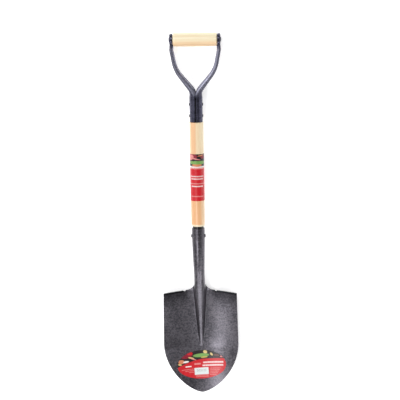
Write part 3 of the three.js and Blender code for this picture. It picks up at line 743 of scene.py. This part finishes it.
def arm_section(side, y):
    """The sheet's section at the height y, from its front lip round to its back lip.

    Returns its places outwards from the arm's inner side, its places up from the arm's middle, and
    the painted light there: 1 for a painted highlight on a rolled edge, -1 for painted shade beside
    the socket's slit, and 0 elsewhere.
    """
    spread = float(smoothstep(y, *ARM_FLATTENS))
    tube = mix(YOKE_MOUTH_R, YOKE_CROTCH_R, min(1, y / ARM_BRANCH))
    narrowed = mix(ARM_END_WIDTH, ARM_WIDTH, float(smoothstep(YOKE_LENGTH - y, *ARM_END_NARROWS)))
    width = mix(tube, narrowed, spread ** ARM_NARROWING) - YOKE_WALL / 2
    depth = mix(tube, ARM_DEPTH, spread) - YOKE_WALL / 2
    grown = float(smoothstep(y, *LIP_GROWS))
    lip = LIP * grown * min(1, width / (ARM_WIDTH - YOKE_WALL / 2))
    lip = min(lip, width * LIP_LIMIT)

    power = 2 / mix(2, ARM_SQUARENESS, spread)
    out = lip + (width - lip) * np.maximum(0, np.cos(OUTER_TURNS)) ** power
    up = depth * np.sign(OUTER_TURNS) * np.abs(np.sin(OUTER_TURNS)) ** power
    front = OUTER_TURNS > 0
    groove = (1 - grown) * front
    up = up - groove * SEAM_DEPTH * np.exp(-((out - YOKE_SEAM / 2) / SEAM_CURLS[side]) ** 2)
    out = np.where(front, np.maximum(out, YOKE_SEAM / 2 * (1 - spread)), out)

    lip_out = lip * (1 - np.sin(LIP_TURNS))
    lip_up = depth - LIP_DROP * (1 - np.cos(LIP_TURNS)) * lip / LIP
    front_lip, back_lip = (lip_out, lip_up), (lip_out[::-1], -lip_up[::-1])
    if lip < LEAST_LIP:
        front_lip = (np.full_like(LIP_TURNS, out[0]), np.full_like(LIP_TURNS, up[0]))
        back_lip = (np.full_like(LIP_TURNS, out[-1]), np.full_like(LIP_TURNS, up[-1]))

    # painted shade: the paint is black close beside the slit
    slit = groove * np.exp(-((out - YOKE_SEAM / 2) / SLIT_SHADE_WIDTH) ** 2)
    # painted highlight on a rolled edge, less the painted shade at the slit
    tone = smoothstep(OUTER_TURNS, *RIDGE_TURNS) * lip / LIP - slit
    front_tone = np.full_like(LIP_TURNS, lip / LIP - slit[0])
    return (
        np.concatenate([front_lip[0], out, back_lip[0]]),
        np.concatenate([front_lip[1], up, back_lip[1]]),
        np.concatenate([front_tone, tone, np.zeros_like(LIP_TURNS)]),
    )


def yoke_half(side):
    """Rows of places and painted-light tones round one arm's sheet, from the bottom edge to the ear."""
    ear_start = YOKE_LENGTH - EAR_LENGTH
    path = arm_path()
    path = path[path[:, 1] < ear_start]
    directions = np.gradient(path, axis=0)
    directions /= np.linalg.norm(directions, axis=1)[:, None]
    rows = []
    for (x, y), (dx, dy) in zip(path, directions):
        out, up, tone = arm_section(side, y)
        rows.append(np.stack([side * (x + out * dy), YOKE_BOTTOM + y - out * dx, up, tone], axis=-1))
    for share in np.linspace(0, 1, EAR_ROWS):
        out, up, tone = arm_section(side, mix(ear_start, YOKE_LENGTH - EAR_R, share))
        end = YOKE_LENGTH - np.sqrt((EAR_R - YOKE_WALL / 2) ** 2 - up ** 2)
        along = YOKE_BOTTOM + mix(ear_start, end, share)
        rows.append(np.stack([side * (ARM_TOP_X + out), along, up, tone * (1 - share)], axis=-1))
    return np.array(rows)


def ear_cup(side):
    """Pressed cup that closes over one end of the grip: points and faces."""
    corners = [
        (GRIP_BORE_R, ARM_TOP_X + EAR_WIDTH - YOKE_WALL / 2),
        (EAR_R - YOKE_WALL / 2, ARM_TOP_X + EAR_WIDTH - YOKE_WALL / 2),
        (EAR_R - YOKE_WALL / 2, ARM_TOP_X + YOKE_WALL / 2),
    ]
    profile = np.array(rounded(corners, EAR_EDGE_R, steps=7))
    turns = np.arange(EAR_SEGMENTS) * 2 * math.pi / EAR_SEGMENTS
    radius, x = profile[:, :1], np.repeat(profile[:, 1:], EAR_SEGMENTS, axis=1)
    points = np.stack([side * x, GRIP_AXIS + radius * np.sin(turns), radius * np.cos(turns)], axis=-1)
    return points.reshape(-1, 3), grid_faces(len(profile), EAR_SEGMENTS, wrap=True)


def make_yoke(material):
    points, faces, tones = [], [], []
    for side in (-1, 1):
        half = yoke_half(side)
        places = half[..., :3].reshape(-1, 3)
        cup, cup_faces = ear_cup(side)
        tones += [*half[..., 3].ravel(), *np.zeros(len(cup))]
        for part, part_faces in ((places, grid_faces(*half.shape[:2])), (cup, cup_faces)):
            first = sum(len(block) for block in points)
            moved = [tuple(first + index for index in face) for face in part_faces]
            faces += moved if side < 0 else [tuple(reversed(face)) for face in moved]
            points.append(part)
    obj = piece("yoke_pressing", np.concatenate(points), faces, material, "yoke")
    obj.data.attributes.new("highlight_and_shade", "FLOAT", "POINT").data.foreach_set("value", tones)
    weld = obj.modifiers.new("back of the socket", "WELD")
    weld.merge_threshold = WELD_REACH
    thicken(obj, YOKE_WALL, YOKE_EDGE, even=False)


# ---------------------------------------------------------------- wood


def shaft_radius(y):
    return mix(SHAFT_LOW_R, SHAFT_HIGH_R, (y - SHOULDER_GAP) / (SHAFT_TOP - SHOULDER_GAP))


def make_shaft(material):
    corners = [
        (TURNED_CENTRE, -SPIGOT_LENGTH),
        (SPIGOT_TIP_R, -SPIGOT_LENGTH),
        (SPIGOT_R - SPIGOT_TAPER, -SOCKET_STRAIGHT),
        (SPIGOT_R, 0),
        (SPIGOT_R, SHOULDER_GAP),
        (SHAFT_LOW_R, SHOULDER_GAP),
        (SHAFT_HIGH_R, SHAFT_TOP),
        (TENON_R, SHAFT_TOP),
        (TENON_R, SHAFT_TOP + TENON_LENGTH),
        (TURNED_CENTRE, SHAFT_TOP + TENON_LENGTH),
    ]
    turned("shaft_turning", rounded(corners, SHAFT_EDGE_R), material, "shaft")


def make_grip(material):
    shoulder = ARM_TOP_X - YOKE_GAP
    end = ARM_TOP_X + EAR_WIDTH - YOKE_WALL - GRIP_END_GAP
    half = [
        (GRIP_R, 0.0),
        (mix(GRIP_R, GRIP_END_R, GRIP_BELLY), shoulder / 2),
        (GRIP_END_R, shoulder - GRIP_END_LENGTH),
        (GRIP_END_R - GRIP_END_TAPER, shoulder),
        (GRIP_SPIGOT_R, shoulder),
        (GRIP_SPIGOT_R, end),
        (GRIP_BORE_R, end),
    ]
    corners = [(r, -x) for r, x in reversed(half[1:])] + half
    profile = rounded(corners, GRIP_EDGE_R)
    turned("grip_turning", profile, material, "grip", across=True, at=GRIP_AXIS)


# ---------------------------------------------------------------- rivets


def make_rivet(name, node, shank_r, head, half_span, at, material):
    """A rivet across the tool at the height `at`, turned in one with its two domed heads."""
    head_r, head_height = head
    under = half_span + HEAD_GAP
    rim = HEAD_RIM * head_height
    dome = [
        (head_r * math.cos(turn), under + rim + (head_height - rim) * math.sin(turn))
        for turn in np.linspace(0, math.pi / 2, 9)[:-1]
    ]
    end = [
        (shank_r, under - SHANK_END),
        (shank_r, under),
        (head_r * HEAD_UNDERSIDE, under),
        *dome,
        (HEAD_CENTRE, under + head_height),
    ]
    profile = [(r, -x) for r, x in reversed(end)] + end
    turned(name, profile, material, node, across=True, at=at, segments=48)


# ---------------------------------------------------------------- labels


def plate_between(outer, inner):
    """Closed skin between two grids of the same size."""
    rows, columns = outer.shape[:2]
    count = rows * columns
    points = np.concatenate([outer.reshape(-1, 3), inner.reshape(-1, 3)])
    under = [tuple(index + count for index in face) for face in grid_faces(rows, columns)]
    top = [tuple(reversed(face)) for face in grid_faces(rows, columns)]
    border = list(range(columns))
    border += [r * columns + columns - 1 for r in range(1, rows)]
    border += [(rows - 1) * columns + c for c in range(columns - 2, -1, -1)]
    border += [r * columns for r in range(rows - 2, 0, -1)]
    rim = [(a, b, b + count, a + count) for a, b in zip(border, border[1:] + border[:1])]
    return points, top + under + rim


def make_shaft_label(material):
    top = YOKE_BOTTOM - SHAFT_LABEL_TOP
    turns = np.linspace(-SHAFT_LABEL_WRAP / 2, SHAFT_LABEL_WRAP / 2, 121)
    heights = np.linspace(top, top - SHAFT_LABEL_LENGTH, 20)
    rows, around = np.meshgrid(heights, turns, indexing="ij")

    def skin(lift):
        radius = shaft_radius(rows) + lift
        return np.stack([radius * np.sin(around), rows, radius * np.cos(around)], axis=-1)

    points, faces = plate_between(skin(LABEL_LIFT), skin(LABEL_BACK_LIFT))
    upwards = 1 - (top - rows) / SHAFT_LABEL_LENGTH
    places = np.stack([around, upwards], axis=-1).reshape(-1, 2)
    piece(
        "shaft_sticker", points, faces, material, "shaft_label",
        smooth_angle=40, printing=np.concatenate([places, places]),
    )


def make_blade_label(material):
    half_width, half_height = BLADE_LABEL_HALF
    cosine, sine = math.cos(BLADE_LABEL_TURN), math.sin(BLADE_LABEL_TURN)
    last_ring = math.pi / 2 - 0.02
    rings = np.linspace(-last_ring, last_ring, 61)
    columns = np.linspace(-1, 1, 81)

    def skin(lift):
        rows = []
        for ring in rings:
            lower, across = half_height * math.sin(ring), columns * half_width * math.cos(ring)
            x = across * cosine + lower * sine
            distance = STEP_DISTANCE + BLADE_LABEL_CENTRE + lower * cosine - across * sine
            z = [float(wing_height(d, place)) + SHEET / 2 + lift for d, place in zip(distance, x)]
            rows.append(np.stack([x, -distance, z], axis=-1))
        return np.array(rows)

    outer = skin(LABEL_LIFT)
    inner = outer - (0, 0, LABEL_LIFT - LABEL_BACK_LIFT)
    points, faces = plate_between(outer, inner)
    wide = np.cos(rings)[:, None] * columns
    high = -np.sin(rings)[:, None] + 0 * columns
    places = np.stack([wide, high], axis=-1).reshape(-1, 2)
    piece(
        "blade_sticker", points, faces, material, "blade_label",
        smooth_angle=40, printing=np.concatenate([places, places]),
    )


class Print(Nodes):
    """Shapes printed on a label, in the label's own u across and v up.

    Each shape is given by its middle u and v, then its half width and half height.
    """

    def __init__(self, name, ground):
        super().__init__(name)
        layer = self.add("ShaderNodeUVMap", uv_map="print")
        self.u, self.v, _ = self.split(layer.outputs["UV"])
        self.colour = ground

    def line(self, u_share, v_share, offset):
        sides = (self.math("MULTIPLY", self.u, u_share), self.math("MULTIPLY", self.v, v_share))
        return self.math("SUBTRACT", self.math("ADD", *sides), offset)

    def oval(self, u, v, half_u, half_v, turn=0.0):
        cosine, sine = math.cos(turn), math.sin(turn)
        along = self.line(cosine / half_u, sine / half_u, (u * cosine + v * sine) / half_u)
        across = self.line(-sine / half_v, cosine / half_v, (v * cosine - u * sine) / half_v)
        squared = (self.math("MULTIPLY", along, along), self.math("MULTIPLY", across, across))
        return self.spread(self.math("ADD", *squared), 0.75, 1.25, 1, 0)

    def bar(self, u, v, half_u, half_v, soft=0.012):
        sideways = self.math("ABSOLUTE", self.math("SUBTRACT", self.u, u))
        upright = self.math("ABSOLUTE", self.math("SUBTRACT", self.v, v))
        inside = (
            self.spread(sideways, half_u - soft, half_u + soft, 1, 0),
            self.spread(upright, half_v - soft, half_v + soft, 1, 0),
        )
        return self.math("MULTIPLY", *inside)

    def dashes(self, u, v, half_u, half_v, pitch, filled=0.45):
        """A row of uneven dashes."""
        runs = self.add("ShaderNodeTexNoise", noise_dimensions="1D")
        runs.inputs["Detail"].default_value = 1.0
        self.put(runs.inputs["W"], self.math("ADD", self.math("MULTIPLY", self.u, pitch), 7 * v))
        shown = self.spread(runs.outputs["Fac"], 1 - filled - 0.14, 1 - filled - 0.08)
        return self.math("MULTIPLY", self.bar(u, v, half_u, half_v), shown)

    def ink(self, mask, colour):
        self.colour = self.blend(mask, self.colour, colour)

    def finished(self):
        scuffs = self.noise(self.position, 160, 4, 0.6)
        self.ink(self.spread(scuffs, 0.6, 0.85, 0, 0.12), SCUFF)
        self.put(self.shader.inputs["Base Color"], self.colour)
        self.put(self.shader.inputs["Roughness"], self.spread(scuffs, 0.3, 0.7, 0.26, 0.42))
        self.shader.inputs["Coat Weight"].default_value = 0.2
        self.shader.inputs["Coat Roughness"].default_value = 0.3
        self.put(self.shader.inputs["Normal"], self.bump(self.noise(self.position, 60, 2), 0.1, 0.001))
        return self.material


INK_RED = rgb(206, 20, 34)
INK_DEEP_RED = rgb(140, 20, 44)
INK_BLACK = rgb(24, 18, 20)
INK_WHITE = rgb(244, 236, 232)
INK_PALE = rgb(242, 214, 212)
INK_GREY = rgb(226, 234, 232)
INK_PINK = rgb(226, 140, 136)
INK_GREEN = rgb(122, 168, 86)
INK_CREAM = rgb(222, 196, 128)
INK_ORANGE = rgb(214, 132, 92)
INK_BROWN = rgb(96, 58, 50)
INK_YELLOW = rgb(196, 178, 90)
INK_SLATE = rgb(150, 152, 152)
SCUFF = rgb(238, 226, 220)


def blade_print():
    """Red oval with a swash of leaves above a dark curve, white dashes and a white panel."""
    n = Print("blade_label_print", INK_RED)
    short_of = n.math("MAXIMUM", n.math("SUBTRACT", 0.1, n.u), 0.0)
    curve = n.math("SUBTRACT", 0.385, n.math("MULTIPLY", n.math("POWER", short_of, 1.6), 0.39))
    above = n.math("SUBTRACT", n.v, curve)
    n.ink(n.spread(above, -0.02, 0.02), INK_BLACK)
    leaf = n.math("MULTIPLY", n.oval(-0.6, 0.72, 0.26, 0.22, 0.5), n.spread(above, 0.2, 0.3))
    n.ink(leaf, INK_DEEP_RED)
    n.ink(n.oval(-0.46, 0.82, 0.12, 0.12, 0.4), INK_RED)
    n.ink(n.oval(-0.83, 0.3, 0.13, 0.15, 0.5), INK_ORANGE)
    n.ink(n.oval(-0.9, 0.12, 0.05, 0.09, 0.9), INK_CREAM)
    n.ink(n.oval(-0.64, 0.26, 0.12, 0.07, 0.15), INK_WHITE)
    n.ink(n.oval(-0.42, 0.5, 0.13, 0.05, -0.5), INK_CREAM)
    n.ink(n.oval(-0.33, 0.4, 0.14, 0.035, -0.6), INK_PINK)
    n.ink(n.oval(0.18, 0.86, 0.08, 0.12, 0.2), INK_CREAM)
    n.ink(n.oval(0.43, 0.68, 0.05, 0.11, 0.3), INK_CREAM)
    n.ink(n.oval(0.64, 0.6, 0.12, 0.08, -0.3), INK_BROWN)
    n.ink(n.oval(0.83, 0.5, 0.06, 0.05, -0.5), INK_PINK)
    n.ink(n.oval(0.0, 0.64, 0.33, 0.13, 0.03), INK_GREEN)
    n.ink(n.oval(0.12, 0.5, 0.14, 0.05, 0.1), INK_YELLOW)
    n.ink(n.dashes(0.475, 0.12, 0.42, 0.055, 26, 0.6), INK_PALE)
    n.ink(n.dashes(0.45, -0.09, 0.43, 0.055, 24, 0.6), INK_PALE)
    n.ink(n.dashes(-0.18, 0.05, 0.13, 0.06, 16, 0.6), INK_PINK)
    n.ink(n.bar(-0.556, -0.09, 0.12, 0.04), INK_WHITE)
    for row in range(3):
        n.ink(n.dashes(-0.6 + 0.07 * row, -0.29 - 0.11 * row, 0.25 - 0.07 * row, 0.022, 22), INK_PINK)
    for row in range(5):
        n.ink(n.dashes(0.55 - 0.03 * row, -0.31 - 0.11 * row, 0.22 - 0.02 * row, 0.022, 22), INK_PINK)
    for row in range(2):
        n.ink(n.dashes(-0.03, -0.77 - 0.09 * row, 0.26, 0.022, 22, 0.55), INK_PINK)
    n.ink(n.bar(-0.037, -0.47, 0.29, 0.24), INK_GREY)
    n.ink(n.dashes(-0.037, -0.42, 0.2, 0.09, 38, 0.35), INK_SLATE)
    return n.finished()


def shaft_print():
    """Red band with a leafy top, a pale arc below it and white rows of dashes all the way round."""
    n = Print("shaft_label_print", INK_RED)
    n.ink(n.spread(n.v, 0.69, 0.7), INK_WHITE)
    n.ink(n.dashes(0, 0.7, 4, 0.016, 3, 0.5), INK_PINK)
    n.ink(n.spread(n.v, 0.735, 0.75), INK_BLACK)
    n.ink(n.oval(0, 0.765, 0.75, 0.03, 0), INK_ORANGE)
    n.ink(n.oval(-0.7, 0.95, 0.75, 0.06, 0), INK_DEEP_RED)
    n.ink(n.oval(-1.0, 0.93, 0.55, 0.06, 0.02), INK_PINK)
    n.ink(n.oval(0.62, 0.97, 0.5, 0.012, 0.02), INK_ORANGE)
    n.ink(n.oval(-0.2, 0.9, 0.75, 0.012, -0.03), INK_PINK)
    n.ink(n.oval(0.95, 0.93, 0.4, 0.03, 0), INK_DEEP_RED)
    n.ink(n.oval(0.1, 0.82, 1.5, 0.036, 0), INK_GREEN)
    n.ink(n.dashes(0, 0.527, 1.05, 0.009, 12, 0.55), INK_WHITE)
    n.ink(n.dashes(0, 0.473, 0.95, 0.009, 12, 0.6), INK_WHITE)
    n.ink(n.bar(0, 0.372, 1.45, 0.01, 0.006), INK_PINK)
    n.ink(n.dashes(0, 0.315, 0.9, 0.01, 12, 0.6), INK_WHITE)
    n.ink(n.bar(0, 0.1, 1.0, 0.009, 0.006), INK_PINK)
    return n.finished()


# ---------------------------------------------------------------- build

rivets = rivet_paint()

make_blade(blade_paint())
make_yoke(yoke_paint())
make_shaft(shaft_wood())
make_grip(grip_wood())
make_rivet(
    "socket_rivet_formed", "socket_rivet", RIVET_R, RIVET_HEAD,
    float(socket_radius(SOCKET_RIVET_DISTANCE)) + SHEET / 2, -SOCKET_RIVET_DISTANCE, rivets,
)
for place, height in YOKE_RIVET_HEIGHTS.items():
    make_rivet(
        f"yoke_rivet_{place}_formed", f"yoke_rivet_{place}", RIVET_R, YOKE_RIVET_HEAD,
        mix(YOKE_MOUTH_R, YOKE_CROTCH_R, height / ARM_BRANCH), YOKE_BOTTOM + height, rivets,
    )
make_rivet(
    "grip_rivet_formed", "grip_rivet", GRIP_RIVET_R, GRIP_RIVET_HEAD,
    ARM_TOP_X + EAR_WIDTH, GRIP_AXIS, rivets,
)
make_shaft_label(shaft_print())
make_blade_label(blade_print())

# ---------------------------------------------------------------- floor, light and camera

FLOOR_HALF = 6.0
FLOOR_WHITE = (0.9, 0.9, 0.91, 1)
FLOOR_GLOW = 0.55
WHITE = (1, 1, 1, 1)

SKY_STRENGTH = 0.22
GLOW_TOWARDS = Vector((-0.72, 0.42, 0.55)).normalized()
GLOW_COSINES = (0.62, 0.92)  # of the angles from its middle where the glow fades in and is full
GLOW_STRENGTH = 0.8
PANEL_DISTANCE = 3.0

CAMERA_TILT = math.radians(15)  # off the floor's vertical, towards the grip
CAMERA_YAW = math.radians(2.378)  # off the floor's vertical, towards +X
CAMERA_TURN = math.radians(-1.195)  # of the picture about the view's axis
CAMERA_DISTANCE = 3.777
CAMERA_AIM = Vector((0.0052, 0.0558, 0.030))
CAMERA_LENS = 128.8


def make_floor():
    mesh = bpy.data.meshes.new("floor")
    corners = [(x * FLOOR_HALF, y * FLOOR_HALF, 0) for x, y in ((-1, -1), (1, -1), (1, 1), (-1, 1))]
    mesh.from_pydata(corners, [], [(0, 1, 2, 3)])
    floor = bpy.data.objects.new("floor", mesh)
    bpy.context.scene.collection.objects.link(floor)
    n = Nodes("pale_floor")
    n.shader.inputs["Base Color"].default_value = FLOOR_WHITE
    n.shader.inputs["Roughness"].default_value = 0.9
    n.shader.inputs["Emission Color"].default_value = WHITE
    n.shader.inputs["Emission Strength"].default_value = FLOOR_GLOW
    mesh.materials.append(n.material)


def make_panel(name, azimuth, elevation, size, watts):
    """A soft rectangular light aimed at the tool. Azimuth 0 is the tip's side, 90 is +X."""
    a, e = math.radians(azimuth), math.radians(elevation)
    away = Vector((math.sin(a) * math.cos(e), -math.cos(a) * math.cos(e), math.sin(e)))
    light = bpy.data.lights.new(name, "AREA")
    light.shape = "RECTANGLE"
    light.size, light.size_y = size
    light.energy = watts
    obj = bpy.data.objects.new(name, light)
    bpy.context.scene.collection.objects.link(obj)
    obj.location = away * PANEL_DISTANCE
    obj.rotation_euler = away.to_track_quat("Z", "Y").to_euler()


def make_sky():
    """A dim white sky with one broad glow."""
    world = bpy.data.worlds.new("soft_sky")
    bpy.context.scene.world = world
    world.use_nodes = True
    tree = world.node_tree
    direction = tree.nodes.new("ShaderNodeTexCoord").outputs["Generated"]
    cosine = tree.nodes.new("ShaderNodeVectorMath")
    cosine.operation = "DOT_PRODUCT"
    cosine.inputs[1].default_value = GLOW_TOWARDS
    strength = tree.nodes.new("ShaderNodeMapRange")
    strength.interpolation_type = "SMOOTHSTEP"
    limits = (*GLOW_COSINES, SKY_STRENGTH, SKY_STRENGTH + GLOW_STRENGTH)
    for socket, number in zip(list(strength.inputs)[1:5], limits):
        socket.default_value = number
    background = tree.nodes["Background"]
    background.inputs["Color"].default_value = WHITE
    tree.links.new(direction, cosine.inputs[0])
    tree.links.new(cosine.outputs["Value"], strength.inputs[0])
    tree.links.new(strength.outputs[0], background.inputs["Strength"])


def make_camera():
    away = Vector((math.tan(CAMERA_YAW), math.tan(CAMERA_TILT), 1)).normalized()
    right = Vector((0, 1, 0)).cross(away).normalized()
    up = away.cross(right)
    cosine, sine = math.cos(CAMERA_TURN), math.sin(CAMERA_TURN)
    right, up = cosine * right + sine * up, cosine * up - sine * right
    camera = bpy.data.cameras.new("camera")
    camera.sensor_width = 36
    camera.lens = CAMERA_LENS
    camera.clip_end = 50
    obj = bpy.data.objects.new("camera", camera)
    bpy.context.scene.collection.objects.link(obj)
    obj.matrix_world = Matrix.Translation(CAMERA_AIM + away * CAMERA_DISTANCE) @ (
        Matrix((right, up, away)).transposed().to_4x4()
    )
    bpy.context.scene.camera = obj


make_floor()
make_sky()
make_panel("key", azimuth=-48, elevation=63, size=(0.45, 0.45), watts=19.5)
make_panel("grip_side", azimuth=-165, elevation=44, size=(1.8, 0.7), watts=23)
make_panel("right_fill", azimuth=90, elevation=18, size=(3, 0.8), watts=11)
make_panel("tip_side", azimuth=6, elevation=37, size=(5.2, 0.55), watts=50)
make_camera()
bpy.context.scene.view_settings.view_transform = "Standard"
